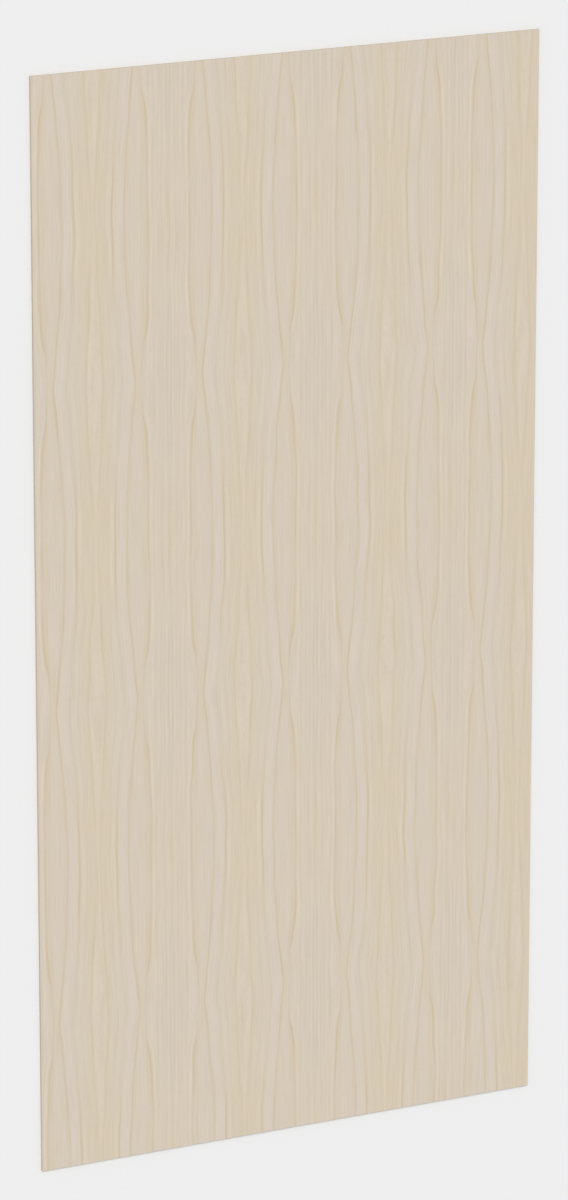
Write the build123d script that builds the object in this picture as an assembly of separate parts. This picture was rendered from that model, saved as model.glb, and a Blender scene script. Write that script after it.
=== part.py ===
"""A full sheet of thin hardwood plywood, lying flat with its face veneer up.

The plies are glued into one rigid board and the sheet is sawn out of it, so the sheet is one solid:
a rectangular blank with square sawn edges, whose sharp arrises are just taken off by the finish sanding.

Millimetres. The origin is the middle of the back face, X across the sheet, Y along the face grain, Z up.
"""

import os

from build123d import *

# Driving dimensions
SHEET_WIDTH = 1219.2  # 4 ft, across the face grain
SHEET_LENGTH = 2438.4  # 8 ft, along the face grain
SHEET_THICKNESS = 6.35  # 1/4 in, through all the plies
ARRIS_BEVEL = 0.25  # taken off every sharp edge, at 45 degrees

PARTS_FOLDER = "parts"
SHEET_NODE = "plywood_sheet"


def sawn_blank():
    """The board as it leaves the saws: square edges, flat on its back face."""
    resting_on_its_back = (Align.CENTER, Align.CENTER, Align.MIN)
    return Box(SHEET_WIDTH, SHEET_LENGTH, SHEET_THICKNESS, align=resting_on_its_back)


def plywood_sheet():
    """The blank with its arrises eased, so that the bevels meet in a small facet at each corner."""
    blank = sawn_blank()
    return chamfer(blank.edges(), ARRIS_BEVEL)


def main():
    os.makedirs(PARTS_FOLDER, exist_ok=True)
    export_step(plywood_sheet(), os.path.join(PARTS_FOLDER, SHEET_NODE + ".step"))


if __name__ == "__main__":
    main()
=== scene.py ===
"""A full sheet of thin veneered plywood, lying face up on a pale floor. Metres.

The sheet is one watertight skin: a face and a back of veneer, eased arrises, and a rim of sawn plies.
The columns of the mesh follow the growth lines of the face veneer, and carry the figure to its material.
"""

import math

import bpy
import numpy as np
from mathutils import Matrix, Vector, noise


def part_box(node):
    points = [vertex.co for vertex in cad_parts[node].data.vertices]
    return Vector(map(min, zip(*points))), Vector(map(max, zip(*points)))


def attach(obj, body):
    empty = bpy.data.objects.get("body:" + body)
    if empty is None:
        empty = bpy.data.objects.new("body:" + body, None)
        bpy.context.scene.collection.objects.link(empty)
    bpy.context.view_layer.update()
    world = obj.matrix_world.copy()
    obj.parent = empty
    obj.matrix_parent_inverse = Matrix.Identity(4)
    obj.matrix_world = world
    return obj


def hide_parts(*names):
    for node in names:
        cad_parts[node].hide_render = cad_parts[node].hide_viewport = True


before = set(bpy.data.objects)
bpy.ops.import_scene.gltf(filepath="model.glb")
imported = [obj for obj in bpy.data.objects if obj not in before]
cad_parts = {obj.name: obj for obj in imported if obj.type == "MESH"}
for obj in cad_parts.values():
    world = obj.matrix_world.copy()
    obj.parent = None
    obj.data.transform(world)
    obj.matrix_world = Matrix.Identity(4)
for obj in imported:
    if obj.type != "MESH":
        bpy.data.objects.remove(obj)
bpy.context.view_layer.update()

MM = 0.001
SEED = 11

# The board
NODE = "plywood_sheet"
LOW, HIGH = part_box(NODE)
WIDTH, LENGTH, THICKNESS = HIGH - LOW
ARRIS = 0.25 * MM

# The plies, as the sawn rim shows them
VENEER = 0.6 * MM
INNER_PLIES = 3
GLUE_LINE = 0.10 * MM
GLUE_RECESS = 0.05 * MM
GLUE_WANDER = 0.10 * MM
END_GRAIN_RECESS = 0.09 * MM
END_GRAIN_ROUGHNESS = 0.06 * MM
SIDE_GRAIN_ROUGHNESS = 0.02 * MM
# On the way through a ply: how much half a glue line takes up, and where the arris of an outer ply begins
GLUE_PLY_SHARE = 0.1
ARRIS_PLY_SHARE = 0.8

# The face figure: leaves matched about a plume of gold, which bulges and pinches by turns along the sheet
HALF_LEAF = 177 * MM
FIRST_PLUME = LOW.x + 142 * MM
HALF_FIGURE = 354.75 * MM
FIRST_BULGE = HIGH.y - 328 * MM
# How far the face lies below its growth lines, and how deep the fibres of each veneer and of the rim are
GRAIN_RELIEF = 0.03 * MM
FIBRE_RELIEF = 0.05 * MM

# The last leaf is joined on near the right side, with a strip trimmed off it there
LAST_JOINT = LOW.x + 1001 * MM
LAST_LEAF_TRIM = 21 * MM
JOINT_WIDTH = 0.4 * MM
# Its plume, counted in half leaves from the first
LAST_PLUME_LEAF = 6

# Where growth lines lie across the half leaf at a bulge, and how far they have shifted at a pinch
LENS_SHARES = (0.412, 0.722)
GROWTH_SHARES = (0.0, 0.015, 0.033, 0.15, 0.253, *LENS_SHARES, 0.745, 0.79, 1.0)
SHIFT_SHARES = (0.0, 0.083, 0.092, 0.10, 0.127, 0.146, -0.098, -0.092, 0.0, 0.0)
# Each shifts by a power of the way to a pinch, up to the lens, whose outer line drifts and then kinks
SHIFT_POWERS = (1.4, 1.4, 1.4, 1.6, 1.8, 1.75, 1.5)
OUTER_WAY_SHARES = (0.37, 0.60, 0.69, 0.77, 1.0)
OUTER_SHIFT_SHARES = (0.0, 0.22, 0.40, 0.82, 1.0)

# How far growth lines stray, its waves to a half leaf and a half figure, and the margin kept straight
WANDER = 3.2 * MM
WANDER_WAVES = (2.0, 4.0)
STRAIGHT_MARGIN = 60 * MM

# The mesh, whose first and last columns keep a share of a column's width free beside them
COLUMNS_TO_HALF_LEAF = 20
COLUMNS_PAST_LAST_PLUME = 13
END_SPACE_SHARE = 0.3
GROWTH_DIGITS = 6
SHIFT_SAMPLES = 100
ROWS = 170
LEVELS_TO_INNER_PLY = 4
SHARP_EDGE = math.radians(25)
FACE, RIM, BACK = range(3)

# The map for baked colours: the rows that the face, the back and the four sides of the rim take up
BAKE_MAP = "OFBake"
FACE_MAP_SHARES = (0.402, 0.998)
BACK_MAP_SHARES = (0.202, 0.398)
RIM_MAP_SHARES = ((0.002, 0.048), (0.052, 0.098), (0.102, 0.148), (0.152, 0.198))

# Colours, as linear light, with a dark and a light one for each grain of the rim
CREAM = (0.660, 0.576, 0.470)
SIDE_GRAIN_COLOURS = ((0.57, 0.49, 0.385), (0.66, 0.575, 0.465))
END_GRAIN_COLOURS = ((0.44, 0.365, 0.275), (0.58, 0.50, 0.395))
GLUE_COLOUR = (0.30, 0.22, 0.15)
FLOOR_COLOUR = (0.86, 0.86, 0.86)
WHITE = (1.0, 1.0, 1.0)

# Tints, which multiply the colour under them
CLEAR = (1.0, 1.0, 1.0)
LIGHT = (1.029, 1.028, 1.024)
PALE = (1.012, 1.032, 1.082)
COOL = (0.996, 1.008, 1.045)
GOLD = (1.007, 1.003, 0.957)
ORANGE = (1.004, 0.993, 0.978)
PINK = (1.008, 1.000, 1.002)
AMBER = (0.995, 0.978, 0.940)
BROWN = (0.930, 0.905, 0.840)
OLIVE = (0.946, 0.940, 0.908)
MOSS = (0.965, 0.960, 0.916)
GREY = (0.968, 0.966, 0.962)

# Bands across the half leaf: middle, half core, half width, and tints as (height to a pinch, tint, strength)
BAND_SHARES = (
    # The plume and its flanks
    (0.06, 0.09, 0.15, ((0.0, GOLD, 0.9), (0.24, GOLD, 0.8), (0.5, GOLD, 0.2), (0.9, CLEAR, 1.0))),
    (0.06, 0.06, 0.13, ((0.06, CLEAR, 1.0), (0.16, ORANGE, 1.0), (0.26, ORANGE, 1.0), (0.36, CLEAR, 1.0))),
    (0.055, 0.025, 0.055, ((0.2, CLEAR, 1.0), (0.4, GOLD, 0.5), (0.7, GOLD, 0.7), (1.0, GOLD, 0.1))),
    (0.21, 0.04, 0.08, ((0.55, CLEAR, 1.0), (0.8, COOL, 0.4), (1.0, COOL, 0.4))),
    (0.222, 0.01, 0.035, ((0.0, GOLD, 0.5), (0.35, GOLD, 0.5), (0.5, CLEAR, 1.0))),
    # The pale stripe along the lens
    (0.280, 0.015, 0.045, ((0.0, AMBER, 0.5), (0.35, AMBER, 0.3), (0.5, CLEAR, 1.0))),
    (0.335, 0.0, 0.075, ((0.0, PALE, 1.0), (0.2, PALE, 1.1), (0.4, PALE, 0.9), (0.55, PALE, 1.0),
                         (1.0, PALE, 1.15))),
    # The lens
    (0.435, 0.015, 0.05, ((0.0, GOLD, 0.2), (0.35, GOLD, 0.5), (0.45, GOLD, 0.5), (0.55, CLEAR, 1.0))),
    (0.49, 0.01, 0.08, ((0.0, COOL, 0.8), (0.2, COOL, 0.7), (0.4, CLEAR, 1.0))),
    (0.58, 0.03, 0.08, ((0.0, COOL, 0.4), (0.3, COOL, 0.5), (0.5, COOL, 0.3), (0.8, CLEAR, 1.0))),
    (0.54, 0.02, 0.10, ((0.3, CLEAR, 1.0), (0.5, COOL, 0.7), (0.75, PALE, 0.5), (0.9, CLEAR, 1.0))),
    (0.50, 0.05, 0.11, ((0.75, CLEAR, 1.0), (0.9, GOLD, 0.9))),
    (0.56, 0.02, 0.07, ((0.05, LIGHT, 0.1), (0.25, LIGHT, 0.4), (0.5, LIGHT, 0.5), (0.7, LIGHT, 0.3),
                        (0.8, CLEAR, 1.0))),
    (0.655, 0.015, 0.045, ((0.0, GREY, 0.25), (0.2, GREY, 0.4), (0.35, GREY, 0.15), (0.45, CLEAR, 1.0))),
    (0.69, 0.015, 0.06, ((0.0, GOLD, 0.7), (0.3, GOLD, 0.2), (0.45, AMBER, 0.6), (0.6, AMBER, 1.2),
                         (0.68, AMBER, 1.5), (0.76, AMBER, 0.8), (0.86, CLEAR, 1.0))),
    # Between the lens and the joint of two leaves
    (0.90, 0.13, 0.17, ((0.0, PINK, 1.0), (0.3, PINK, 0.5), (0.55, COOL, 0.6), (1.0, COOL, 0.6))),
    (0.81, 0.0, 0.04, ((0.0, COOL, 0.5), (0.2, COOL, 0.4), (0.35, CLEAR, 1.0))),
    (0.99, 0.02, 0.10, ((0.0, GOLD, 0.9), (0.15, GOLD, 0.3), (0.25, CLEAR, 1.0))),
    (1.00, 0.01, 0.04, ((0.0, BROWN, 0.3), (0.12, BROWN, 0.1), (0.2, CLEAR, 1.0), (0.45, CLEAR, 1.0),
                        (0.6, GREY, 0.6), (0.8, GREY, 0.2), (1.0, LIGHT, 0.5))),
)
# Lines across the half leaf: middle, half width, and tints as above
LINE_SHARES = (
    # In the plume and its flanks
    (0.000, 0.022, ((0.0, LIGHT, 1.0), (0.3, LIGHT, 0.8), (0.7, LIGHT, 1.2), (1.0, LIGHT, 0.7))),
    (0.033, 0.021, ((0.0, MOSS, 0.3), (0.2, MOSS, 0.4), (0.4, MOSS, 1.0), (0.8, MOSS, 1.0),
                    (1.0, MOSS, 0.8))),
    (0.062, 0.030, ((0.4, CLEAR, 1.0), (0.6, MOSS, 0.6), (0.8, MOSS, 0.5), (1.0, MOSS, 0.3))),
    (0.093, 0.024, ((0.0, MOSS, 0.25), (0.8, GREY, 0.2), (1.0, LIGHT, 0.3))),
    (0.155, 0.026, ((0.0, MOSS, 0.2), (0.2, BROWN, 0.2), (0.5, OLIVE, 0.4), (1.0, GREY, 0.6))),
    (0.203, 0.050, ((0.0, LIGHT, 1.3), (0.2, LIGHT, 1.4), (0.35, LIGHT, 0.3), (0.7, LIGHT, 0.2))),
    # Along the pale stripe
    (0.253, 0.022, ((0.0, BROWN, 1.2), (0.2, BROWN, 1.0), (0.35, BROWN, 0.65), (0.5, BROWN, 0.4),
                    (0.6, OLIVE, 0.5), (0.8, GREY, 0.6), (1.0, GREY, 1.0))),
    (0.287, 0.024, ((0.0, LIGHT, 1.2), (0.3, LIGHT, 0.7), (0.5, CLEAR, 1.0))),
    (0.380, 0.022, ((0.0, LIGHT, 0.4), (1.0, LIGHT, 0.4))),
    # The inner line of the lens
    (0.416, 0.030, ((0.0, OLIVE, 1.0), (0.3, OLIVE, 1.0), (0.5, OLIVE, 1.3), (0.6, OLIVE, 1.2),
                    (0.8, OLIVE, 1.5), (0.88, BROWN, 1.15), (1.0, BROWN, 1.0))),
    # The outer line of the lens, with the light lines along it
    (0.722, 0.029, ((0.0, BROWN, 1.0), (0.2, OLIVE, 0.8), (0.35, OLIVE, 1.0), (0.45, BROWN, 0.9),
                    (0.6, BROWN, 1.1), (0.72, BROWN, 1.3), (0.8, OLIVE, 1.3), (0.95, OLIVE, 0.6))),
    (0.757, 0.025, ((0.0, LIGHT, 2.0), (0.5, LIGHT, 1.9), (0.65, LIGHT, 1.2), (0.78, LIGHT, 0.4),
                    (1.0, PALE, 0.5))),
    (0.776, 0.012, ((0.6, CLEAR, 1.0), (0.75, LIGHT, 1.0), (1.0, LIGHT, 1.1))),
    (0.782, 0.022, ((0.0, GREY, 0.5), (0.4, GREY, 0.7), (0.6, CLEAR, 1.0))),
    (0.792, 0.014, ((0.6, CLEAR, 1.0), (0.8, GREY, 1.0), (1.0, GREY, 1.0))),
    (0.815, 0.030, ((0.0, LIGHT, 1.3), (0.3, LIGHT, 0.9), (0.6, LIGHT, 1.1), (0.8, LIGHT, 0.6),
                    (1.0, LIGHT, 0.2))),
    # On to the joint of two leaves
    (0.862, 0.032, ((0.0, GREY, 0.3), (0.3, GREY, 0.6), (0.55, GREY, 1.0), (0.8, GREY, 0.6))),
    (0.905, 0.030, ((0.0, GREY, 0.1), (1.0, GREY, 0.4))),
    (0.945, 0.024, ((0.0, LIGHT, 0.8), (0.4, LIGHT, 0.7), (0.6, LIGHT, 0.3), (1.0, LIGHT, 0.5))),
    (0.978, 0.024, ((0.0, GREY, 0.3), (0.4, GREY, 0.4), (1.0, GREY, 1.4))),
)

# The fine grain, as noise: its waves to a unit of the two values that it goes by, its seed and its detail
FACE_STREAKS = {"waves": (48.0, 0.9), "seed": 3.0, "detail": 2.0}
FACE_FIBRES = {"waves": (60.0, 3.0), "seed": 7.0, "detail": 3.0}
FACE_PORES = {"waves": (500.0, 30.0), "seed": 9.0, "detail": 2.0}
BACK_STREAKS = {"waves": (26.0, 0.8), "seed": 13.0, "detail": 2.0}
BACK_FIBRES = {"waves": (120.0, 5.0), "seed": 17.0, "detail": 3.0}
SIDE_GRAIN = {"waves": (12.0, 6.0), "seed": 21.0, "detail": 2.0}
END_GRAIN = {"waves": (900.0, 3.0), "seed": 22.0, "detail": 2.0}
# The tints and roughness that go with that noise, most of which lies within a range
FACE_STREAK_TINTS = ((0.2, GREY, 1.9), (0.5, CLEAR, 1.0), (0.8, LIGHT, 1.9))
FACE_FIBRE_TINTS = ((0.2, BROWN, 0.8), (0.5, CLEAR, 1.0), (0.8, LIGHT, 1.8))
FACE_PORE_TINTS = ((0.3, BROWN, 0.5), (0.5, CLEAR, 1.0), (0.7, LIGHT, 0.6))
BACK_STREAK_TINTS = ((0.3, GOLD, 1.0), (0.5, CLEAR, 1.0), (0.7, PALE, 1.0))
BACK_FIBRE_TINTS = ((0.25, OLIVE, 1.0), (0.5, CLEAR, 1.0), (0.75, LIGHT, 1.0))
NOISE_RANGE = (0.3, 0.7)
FACE_ROUGHNESS = (0.55, 0.68)
BACK_ROUGHNESS = (0.58, 0.70)
RIM_ROUGHNESS = (0.70, 0.85)
# The strength of the streaks in the plume, in the lens and past it, and where across it changes
STREAK_STRENGTH_SHARES = (0.65, 0.47, 1.0)
STREAK_LENS_START_SHARES = (0.15, 0.30)
STREAK_LENS_END_SHARES = (0.68, 0.76)
# In plies: how far from the middle of a glue line its colour starts to fade, and where it ends
GLUE_FADE_SHARES = (0.04, 0.10)
HALF_PLY_SHARE = 0.5

# The view
VIEW_FROM_LEFT = math.radians(27.0)
VIEW_FROM_ABOVE = math.radians(15.5)
CAMERA_DISTANCE = 13.606
CAMERA_LENS = 186.8
AIM = Vector((-14.3 * MM, 8.0 * MM, HIGH.z))

# The light
WORLD_LIGHT = 0.6
KEY_FROM = Vector((-0.30, 0.55, 0.78))
KEY_LIGHT = 0.4
KEY_ANGLE = math.radians(25)
FLOOR_SIZE = 1000.0
FLOOR_GAP = 0.2 * MM

# The sockets of a Mix node that take a share and two colours, and the one that gives their mix
COLOUR_MIX_INPUTS = (0, 6, 7)
COLOUR_MIX_OUTPUT = 2


def fold(value):
    """The distance to the nearest even number, so that a row of leaves runs from 0 to 1 and back."""
    return np.abs((value + 1) % 2 - 1)


def linear_share(value, ends):
    """How far value has come from the first end to the second."""
    return np.clip((value - ends[0]) / (ends[1] - ends[0]), 0, 1)


def columns_between(first, last):
    """The growth of the mesh's columns between two, in half leaves, with a column on each main line."""
    across = np.union1d(np.linspace(0, 1, COLUMNS_TO_HALF_LEAF + 1), GROWTH_SHARES)
    columns = []
    for leaf in range(math.floor(first), math.ceil(last)):
        columns.extend(leaf + (across if leaf % 2 == 0 else 1 - across))
    columns = np.unique(np.round(columns, GROWTH_DIGITS))
    space = END_SPACE_SHARE / COLUMNS_TO_HALF_LEAF
    inside = columns[(columns > first + space) & (columns < last - space)]
    return np.concatenate([[first], inside, [last]])


def grain_columns():
    """Where each column crosses a bulge, in half leaves from the first plume, and its growth."""
    first = (LOW.x + ARRIS - FIRST_PLUME) / HALF_LEAF
    last = (HIGH.x - ARRIS - FIRST_PLUME) / HALF_LEAF
    joint = (LAST_JOINT - FIRST_PLUME) / HALF_LEAF
    trim = LAST_LEAF_TRIM / HALF_LEAF
    before = columns_between(first, joint)
    after = columns_between(joint + JOINT_WIDTH / HALF_LEAF + trim, LAST_PLUME_LEAF)
    past = np.linspace(LAST_PLUME_LEAF, last + trim, COLUMNS_PAST_LAST_PLUME)[1:]
    place = np.concatenate([before, after - trim, past - trim])
    return place, np.concatenate([before, after, past])


def shift(inside, height):
    """How far growth lines have moved from their plume, in half leaves, at a height towards a pinch."""
    outer = linear_share(inside, LENS_SHARES)
    power = np.interp(inside, GROWTH_SHARES[:len(SHIFT_POWERS)], SHIFT_POWERS)
    outer_timing = np.interp(height, OUTER_WAY_SHARES, OUTER_SHIFT_SHARES)
    timing = (1 - outer) * height ** power + outer * outer_timing
    return timing * np.interp(inside, GROWTH_SHARES, SHIFT_SHARES)


def growth_past_last_plume(growth, along):
    """The growth that lies, at each distance along, on each straight column past the last plume."""
    inside = np.linspace(0, LENS_SHARES[0], SHIFT_SAMPLES)
    past = growth - LAST_PLUME_LEAF
    rows = [np.interp(past, inside + shift(inside, height), inside) for height in fold(along)[:, 0]]
    return LAST_PLUME_LEAF + np.array(rows)


def wander(place, along, x):
    """How far each point of the face strays across the sheet."""
    across_waves = WANDER_WAVES[0] * place
    along_waves = WANDER_WAVES[1] * along[:, 0]
    waves = [[noise.noise((across, up, SEED)) for across in across_waves] for up in along_waves]
    freedom = np.clip(np.minimum(x - LOW.x, HIGH.x - x) / STRAIGHT_MARGIN, 0, 1)
    freedom[:, [0, -1]] = 0
    return WANDER * freedom * np.array(waves)


def face_grid():
    """Growth, distance along, x and y of the points of the face, with a row for each distance along."""
    place, growth = grain_columns()
    y = np.linspace(LOW.y + ARRIS, HIGH.y - ARRIS, ROWS)[:, None]
    along = (FIRST_BULGE - y) / HALF_FIGURE
    past = growth > LAST_PLUME_LEAF
    away = np.where(np.floor(growth) % 2 == 0, 1, -1)
    x = FIRST_PLUME + HALF_LEAF * (place + np.where(past, 0, away * shift(fold(growth), fold(along))))
    growth = np.where(past, growth_past_last_plume(growth, along), growth)
    return np.broadcast_arrays(growth, along, x + wander(place, along, x), y)


def ply_levels():
    """The heights of the rim's levels from the back, and their plies: whole numbers at glue lines."""
    inner = (THICKNESS - 2 * VENEER) / INNER_PLIES
    joints = VENEER + inner * np.arange(INNER_PLIES + 1)
    edge = GLUE_LINE / 2
    heights = [ARRIS]
    plies = [1 - ARRIS_PLY_SHARE]
    for number, joint in enumerate(joints, 1):
        heights += [joint - edge, joint]
        plies += [number - GLUE_PLY_SHARE, number]
        if number <= INNER_PLIES:
            ends = (joint + edge, joint + inner - edge)
            ply_ends = (number + GLUE_PLY_SHARE, number + 1 - GLUE_PLY_SHARE)
            heights += list(np.linspace(*ends, LEVELS_TO_INNER_PLY)[:-1])
            plies += list(np.linspace(*ply_ends, LEVELS_TO_INNER_PLY)[:-1])
    heights += [joints[-1] + edge, THICKNESS - ARRIS]
    plies += [len(joints) + GLUE_PLY_SHARE, len(joints) + ARRIS_PLY_SHARE]
    return np.array(heights), np.array(plies)


def ring_of(columns):
    """The rim's points in order round the sheet: column, row and the way out, with each corner twice."""
    across = np.arange(columns)
    up = np.arange(ROWS)
    sides = (
        (across, 0 * across, (0, -1)),
        (0 * up + columns - 1, up, (1, 0)),
        (across[::-1], 0 * across + ROWS - 1, (0, 1)),
        (0 * up, up[::-1], (-1, 0)),
    )
    column = np.concatenate([side[0] for side in sides])
    row = np.concatenate([side[1] for side in sides])
    out = np.concatenate([np.tile(side[2], (len(side[0]), 1)) for side in sides])
    return column, row, out


def rim_recess(plies, turned, chance):
    """How far each level of the rim lies inside the sheet: end grain and glue stand back."""
    glue = np.isclose(plies, np.round(plies))
    cross = np.floor(plies).astype(int) % 2 == 1
    end_grain = cross[None, :] != turned[:, None]
    end_recess = END_GRAIN_RECESS + END_GRAIN_ROUGHNESS * chance
    wood = np.where(end_grain, end_recess, SIDE_GRAIN_ROUGHNESS * chance)
    return np.where(glue[None, :], GLUE_RECESS, wood)


def rim_heights(heights, plies, random, count):
    """The heights of the rim's levels at each of its points, with glue lines that wander a little."""
    joints = heights[np.isclose(plies, np.round(plies))]
    moves = random.uniform(-GLUE_WANDER / 2, GLUE_WANDER / 2, (count, len(joints)))
    low, high = heights[0], heights[-1]
    fixed = [low, *joints, high]
    return np.array([np.interp(heights, fixed, [low, *(joints + move), high]) for move in moves])


def rim_points(x, y):
    """The points of the rim, each with its place along the edge, its ply, and 1 if the edge is an end."""
    random = np.random.default_rng(SEED)
    heights, plies = ply_levels()
    column, row, out = ring_of(x.shape[1])
    flat = np.stack([x[row, column], y[row, column]], -1)
    turned = out[:, 1] != 0
    recess = rim_recess(plies, turned, random.random((len(flat), len(plies))))
    levels = rim_heights(heights, plies, random, len(flat))
    around = flat[:, None, :] + (ARRIS - recess)[:, :, None] * out[:, None, :]
    points = np.concatenate([around, LOW.z + levels[:, :, None]], -1)
    place = np.where(turned, flat[:, 0], flat[:, 1])
    ply = np.stack(np.broadcast_arrays(place[:, None], plies[None, :], turned[:, None] * 1.0), -1)
    return points, ply


def sheet_points():
    """The sheet's points with their grain and ply, and how many columns and levels of rim it has."""
    growth, along, x, y = face_grid()
    on_line = np.isin(np.round(fold(growth), GROWTH_DIGITS), np.round(GROWTH_SHARES, GROWTH_DIGITS))
    face = np.stack([x, y, HIGH.z - GRAIN_RELIEF * ~on_line], -1)
    back = np.stack([x, y, 0 * x + LOW.z], -1)
    face_grain = np.stack([growth, along, 0 * x], -1)
    back_grain = np.stack([(x - LOW.x) / HALF_LEAF, along, 0 * x], -1)
    rim, rim_ply = rim_points(x, y)
    column, row, _ = ring_of(x.shape[1])
    rim_grain = np.repeat(face_grain[row, column][:, None, :], rim.shape[1], 1)
    rim_grain[:, 0] = back_grain[row, column]
    points = np.concatenate([part.reshape(-1, 3) for part in (face, back, rim)])
    grain = np.concatenate([part.reshape(-1, 3) for part in (face_grain, back_grain, rim_grain)])
    ply = np.concatenate([np.zeros((2 * x.size, 3)), rim_ply.reshape(-1, 3)])
    return points, grain, ply, x.shape[1], rim.shape[1]


def grid_quads(index):
    """Quads over a grid of point numbers, turned the same way as the grid."""
    return np.stack([index[:-1, :-1], index[:-1, 1:], index[1:, 1:], index[1:, :-1]], -1).reshape(-1, 4)


def sheet_faces(columns, levels):
    """The sheet's faces, each with the number of its material."""
    size = ROWS * columns
    face = np.arange(size).reshape(ROWS, columns)
    column, row, _ = ring_of(columns)
    rim = 2 * size + np.arange(len(column) * levels).reshape(-1, levels)
    rim = np.concatenate([rim, rim[:1]])
    face_rim = face[np.append(row, row[0]), np.append(column, column[0])]
    back_rim = face_rim + size
    parts = (
        (grid_quads(face), FACE),
        (grid_quads(np.stack([rim[:, -1], face_rim])), FACE),
        (grid_quads(rim)[:, ::-1], RIM),
        (grid_quads(face + size)[:, ::-1], BACK),
        (grid_quads(np.stack([back_rim, rim[:, 0]])), BACK),
    )
    faces = []
    materials = []
    for quads, material in parts:
        faces.extend(list(dict.fromkeys(quad)) for quad in quads.tolist())
        materials.extend([material] * len(quads))
    return faces, materials


def map_place(polygon, point):
    """Where a point of a face lies on the map for baked colours."""
    across = (point.x - LOW.x) / WIDTH
    along = (point.y - LOW.y) / LENGTH
    up = (point.z - LOW.z) / THICKNESS
    if polygon.material_index == FACE:
        return across, np.interp(along, (0, 1), FACE_MAP_SHARES)
    if polygon.material_index == BACK:
        return across, np.interp(along, (0, 1), BACK_MAP_SHARES)
    out = polygon.normal
    is_end = abs(out.y) > abs(out.x)
    side = (out.y > 0) if is_end else 2 + (out.x > 0)
    return across if is_end else along, np.interp(up, (0, 1), RIM_MAP_SHARES[side])


def add_bake_map(mesh):
    """A map without overlaps, on which the face has the finest detail across its grain."""
    places = mesh.uv_layers.new(name=BAKE_MAP).data
    for polygon in mesh.polygons:
        for corner in polygon.loop_indices:
            point = mesh.vertices[mesh.loops[corner].vertex_index].co
            places[corner].uv = map_place(polygon, point)


def plywood_sheet(materials):
    """The sheet as one mesh, with its grain and its plies as attributes of the points."""
    points, grain, ply, columns, levels = sheet_points()
    faces, material_numbers = sheet_faces(columns, levels)
    mesh = bpy.data.meshes.new("veneered_sheet")
    mesh.from_pydata(points.tolist(), [], faces)
    for material in materials:
        mesh.materials.append(material)
    mesh.polygons.foreach_set("material_index", material_numbers)
    for name, values in (("grain", grain), ("ply", ply)):
        attribute = mesh.attributes.new(name, "FLOAT_VECTOR", "POINT")
        attribute.data.foreach_set("vector", values.astype(np.float32).ravel())
    mesh.shade_smooth()
    mesh.set_sharp_from_angle(angle=SHARP_EDGE)
    mesh.update()
    add_bake_map(mesh)
    sheet = bpy.data.objects.new("veneered_sheet", mesh)
    bpy.context.scene.collection.objects.link(sheet)
    return sheet


def faint(tint, strength):
    """A tint at part of its strength, or at more than all of it."""
    return tuple(1 + (value - 1) * strength for value in tint)


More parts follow.
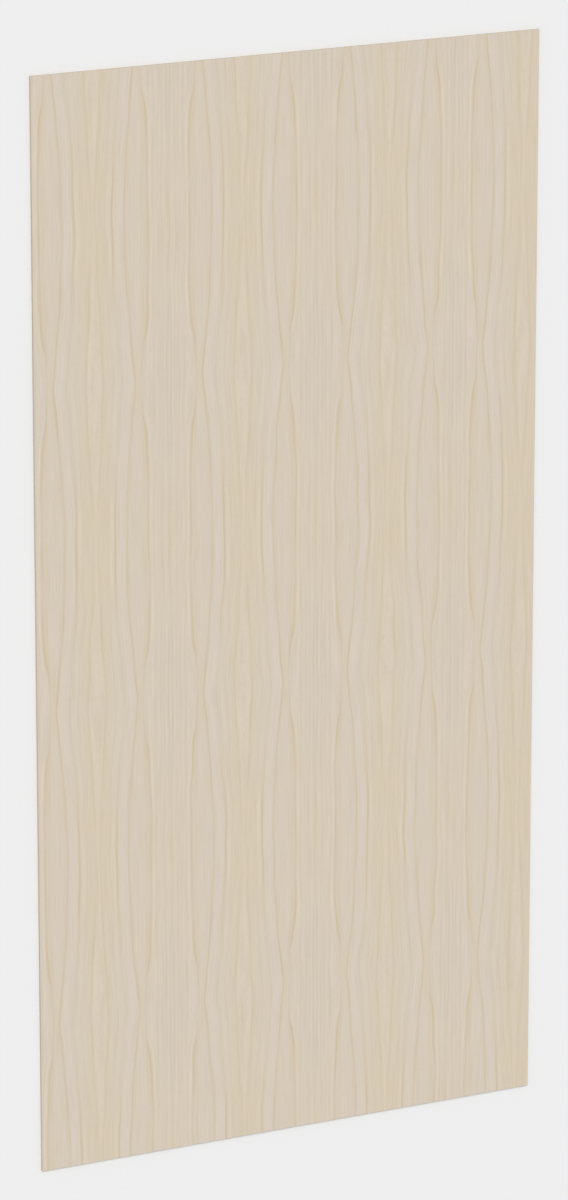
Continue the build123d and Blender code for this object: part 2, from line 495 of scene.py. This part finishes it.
class Graph:
    """A material's nodes, with short calls for the ones used here."""

    def __init__(self, name):
        self.material = bpy.data.materials.new(name)
        self.material.use_nodes = True
        self.tree = self.material.node_tree
        self.shader = self.tree.nodes["Principled BSDF"]

    def node(self, kind, **settings):
        """A new node with these settings."""
        made = self.tree.nodes.new(kind)
        for key, value in settings.items():
            setattr(made, key, value)
        return made

    def feed(self, socket, value):
        """Gives a socket another node's output, a colour or a number."""
        if isinstance(value, bpy.types.NodeSocket):
            self.tree.links.new(value, socket)
        elif isinstance(value, tuple):
            socket.default_value = (*value, 1.0)
        else:
            socket.default_value = value

    def math(self, operation, *values):
        """The result of an operation on one or two values."""
        made = self.node("ShaderNodeMath", operation=operation)
        for socket, value in zip(made.inputs, values):
            self.feed(socket, value)
        return made.outputs["Value"]

    def fold(self, value, top=1.0):
        """Value, run from 0 to the top and back."""
        return self.math("PINGPONG", value, top)

    def spread(self, value, ends, results):
        """Value, brought softly from one pair of ends to another and held there."""
        made = self.node("ShaderNodeMapRange", interpolation_type="SMOOTHSTEP")
        for socket, given in zip(made.inputs, (value, *ends, *results)):
            self.feed(socket, given)
        return made.outputs["Result"]

    def noise(self, x, y, waves, seed, detail):
        """Noise over two values, each with its own waves."""
        place = self.node("ShaderNodeCombineXYZ")
        for socket, value, scale in zip(place.inputs, (x, y), waves):
            self.feed(socket, self.math("MULTIPLY", value, scale))
        self.feed(place.inputs["Z"], seed)
        made = self.node("ShaderNodeTexNoise")
        self.feed(made.inputs["Vector"], place.outputs["Vector"])
        self.feed(made.inputs["Scale"], 1.0)
        self.feed(made.inputs["Detail"], detail)
        return made.outputs["Fac"]

    def ramp(self, value, stops):
        """A colour that goes with value from stop to stop."""
        made = self.node("ShaderNodeValToRGB")
        self.feed(made.inputs["Fac"], value)
        elements = made.color_ramp.elements
        for place, _ in stops[len(elements):]:
            elements.new(place)
        for element, (place, colour) in zip(elements, stops):
            element.position = place
            element.color = (*colour, 1.0)
        return made.outputs["Color"]

    def mix(self, share, first, second, way="MIX"):
        """Two colours, mixed by a share."""
        made = self.node("ShaderNodeMix", data_type="RGBA", blend_type=way)
        for number, value in zip(COLOUR_MIX_INPUTS, (share, first, second)):
            self.feed(made.inputs[number], value)
        return made.outputs[COLOUR_MIX_OUTPUT]

    def tinted(self, colour, value, tints, share=1.0):
        """A colour under tints that go with value, each with its own place and strength."""
        stops = [(place, faint(tint, strength)) for place, tint, strength in tints]
        return self.mix(share, colour, self.ramp(value, stops), "MULTIPLY")

    def attribute(self, name):
        """The three parts of an attribute of the mesh."""
        made = self.node("ShaderNodeAttribute", attribute_name=name)
        parts = self.node("ShaderNodeSeparateXYZ")
        self.feed(parts.inputs[0], made.outputs["Vector"])
        return tuple(parts.outputs)

    def finish(self, colour, roughness, relief, depth):
        """Joins the colour, the roughness and the relief to the shader."""
        made = self.node("ShaderNodeBump")
        self.feed(made.inputs["Height"], relief)
        self.feed(made.inputs["Distance"], depth)
        self.feed(self.shader.inputs["Base Color"], colour)
        self.feed(self.shader.inputs["Roughness"], roughness)
        self.feed(self.shader.inputs["Normal"], made.outputs["Normal"])
        return self.material


def face_figure(graph, across, height):
    """The cream of the veneer under its bands and lines of growth."""
    lines = tuple((middle, 0.0, reach, tints) for middle, reach, tints in LINE_SHARES)
    colour = CREAM
    for middle, core, reach, tints in BAND_SHARES + lines:
        distance = graph.math("ABSOLUTE", graph.math("SUBTRACT", across, middle))
        band = graph.spread(distance, (core, reach), (1.0, 0.0))
        colour = graph.tinted(colour, height, tints, band)
    return colour


def streak_strength(graph, across):
    """The strength of the streaks at a place across the half leaf."""
    in_plume, in_lens, past_lens = STREAK_STRENGTH_SHARES
    inner = graph.spread(across, STREAK_LENS_START_SHARES, (in_plume, in_lens))
    return graph.spread(across, STREAK_LENS_END_SHARES, (inner, past_lens))


def face_veneer():
    """Pale hardwood veneer with the figure that the grain attribute carries."""
    graph = Graph("face_veneer")
    growth, along, _ = graph.attribute("grain")
    across = graph.fold(growth)
    height = graph.fold(along)
    colour = face_figure(graph, across, height)
    streak = graph.noise(across, height, **FACE_STREAKS)
    colour = graph.tinted(colour, streak, FACE_STREAK_TINTS, streak_strength(graph, across))
    fibre = graph.noise(growth, along, **FACE_FIBRES)
    colour = graph.tinted(colour, fibre, FACE_FIBRE_TINTS)
    pores = graph.noise(growth, along, **FACE_PORES)
    colour = graph.tinted(colour, pores, FACE_PORE_TINTS)
    roughness = graph.spread(fibre, NOISE_RANGE, FACE_ROUGHNESS)
    return graph.finish(colour, roughness, graph.math("ADD", fibre, pores), FIBRE_RELIEF)


def back_veneer():
    """Plain straight-grained veneer."""
    graph = Graph("back_veneer")
    growth, along, _ = graph.attribute("grain")
    streak = graph.noise(growth, along, **BACK_STREAKS)
    fibre = graph.noise(growth, along, **BACK_FIBRES)
    colour = graph.tinted(CREAM, streak, BACK_STREAK_TINTS)
    colour = graph.tinted(colour, fibre, BACK_FIBRE_TINTS)
    roughness = graph.spread(fibre, NOISE_RANGE, BACK_ROUGHNESS)
    return graph.finish(colour, roughness, fibre, FIBRE_RELIEF)


def sawn_plies():
    """The sawn rim: plies of side grain and end grain by turns, with a dark glue line between them."""
    graph = Graph("sawn_plies")
    place, ply, turned = graph.attribute("ply")
    odd = graph.fold(graph.math("FLOOR", ply))
    end_grain = graph.math("ABSOLUTE", graph.math("SUBTRACT", odd, turned))
    side = graph.noise(place, ply, **SIDE_GRAIN)
    ends = graph.noise(place, ply, **END_GRAIN)
    side_colour = graph.ramp(side, tuple(zip(NOISE_RANGE, SIDE_GRAIN_COLOURS)))
    end_colour = graph.ramp(ends, tuple(zip(NOISE_RANGE, END_GRAIN_COLOURS)))
    colour = graph.mix(end_grain, side_colour, end_colour)
    glue = graph.spread(graph.fold(ply, HALF_PLY_SHARE), GLUE_FADE_SHARES, (1.0, 0.0))
    colour = graph.mix(glue, colour, GLUE_COLOUR)
    roughness = graph.spread(ends, NOISE_RANGE, RIM_ROUGHNESS)
    return graph.finish(colour, roughness, ends, FIBRE_RELIEF)


def add_floor():
    """A plain pale floor just under the sheet."""
    mesh = bpy.data.meshes.new("floor")
    half = FLOOR_SIZE / 2
    level = LOW.z - FLOOR_GAP
    corners = [(-half, -half, level), (half, -half, level), (half, half, level), (-half, half, level)]
    mesh.from_pydata(corners, [], [(0, 1, 2, 3)])
    material = bpy.data.materials.new("pale_floor")
    material.use_nodes = True
    nodes = material.node_tree.nodes
    nodes.clear()
    diffuse = nodes.new("ShaderNodeBsdfDiffuse")
    diffuse.inputs["Color"].default_value = (*FLOOR_COLOUR, 1.0)
    output = nodes.new("ShaderNodeOutputMaterial")
    material.node_tree.links.new(diffuse.outputs[0], output.inputs["Surface"])
    mesh.materials.append(material)
    floor = bpy.data.objects.new("floor", mesh)
    bpy.context.scene.collection.objects.link(floor)


def add_light():
    """One large soft lamp from the left and the far end, as strong on the level face as it is given."""
    lamp = bpy.data.lights.new("key", "SUN")
    direction = KEY_FROM.normalized()
    lamp.energy = KEY_LIGHT * math.pi / direction.z
    lamp.angle = KEY_ANGLE
    key = bpy.data.objects.new("key", lamp)
    key.rotation_mode = "QUATERNION"
    key.rotation_quaternion = (-direction).to_track_quat("-Z", "Y")
    bpy.context.scene.collection.objects.link(key)


def add_world():
    """Even light from all round, which shows as the floor's own colour behind the sheet."""
    world = bpy.data.worlds.new("studio")
    bpy.context.scene.world = world
    world.use_nodes = True
    nodes = world.node_tree.nodes
    links = world.node_tree.links
    nodes.clear()
    light = nodes.new("ShaderNodeBackground")
    light.inputs["Color"].default_value = (*WHITE, 1.0)
    light.inputs["Strength"].default_value = WORLD_LIGHT
    backdrop = nodes.new("ShaderNodeBackground")
    backdrop.inputs["Color"].default_value = (*FLOOR_COLOUR, 1.0)
    path = nodes.new("ShaderNodeLightPath")
    seen = path.outputs["Is Camera Ray"]
    for name in ("Is Glossy Ray", "Is Transmission Ray"):
        either = nodes.new("ShaderNodeMath")
        either.operation = "MAXIMUM"
        links.new(seen, either.inputs[0])
        links.new(path.outputs[name], either.inputs[1])
        seen = either.outputs["Value"]
    choice = nodes.new("ShaderNodeMixShader")
    links.new(seen, choice.inputs["Fac"])
    links.new(light.outputs[0], choice.inputs[1])
    links.new(backdrop.outputs[0], choice.inputs[2])
    output = nodes.new("ShaderNodeOutputWorld")
    links.new(choice.outputs[0], output.inputs["Surface"])


def add_camera():
    """A long lens that looks down on the sheet from its left and its far end."""
    out = Vector((
        -math.sin(VIEW_FROM_LEFT) * math.cos(VIEW_FROM_ABOVE),
        math.sin(VIEW_FROM_ABOVE),
        math.cos(VIEW_FROM_LEFT) * math.cos(VIEW_FROM_ABOVE),
    ))
    right = Vector((0, 1, 0)).cross(out).normalized()
    turn = Matrix((right, out.cross(right), out)).transposed().to_4x4()
    lens = bpy.data.cameras.new("camera")
    lens.lens = CAMERA_LENS
    camera = bpy.data.objects.new("camera", lens)
    camera.matrix_world = Matrix.Translation(AIM + CAMERA_DISTANCE * out) @ turn
    bpy.context.scene.collection.objects.link(camera)
    bpy.context.scene.camera = camera


bpy.context.scene.view_settings.view_transform = "Standard"
add_camera()
add_light()
add_world()
add_floor()

sheet = plywood_sheet([face_veneer(), sawn_plies(), back_veneer()])
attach(sheet, "root")
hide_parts(NODE)
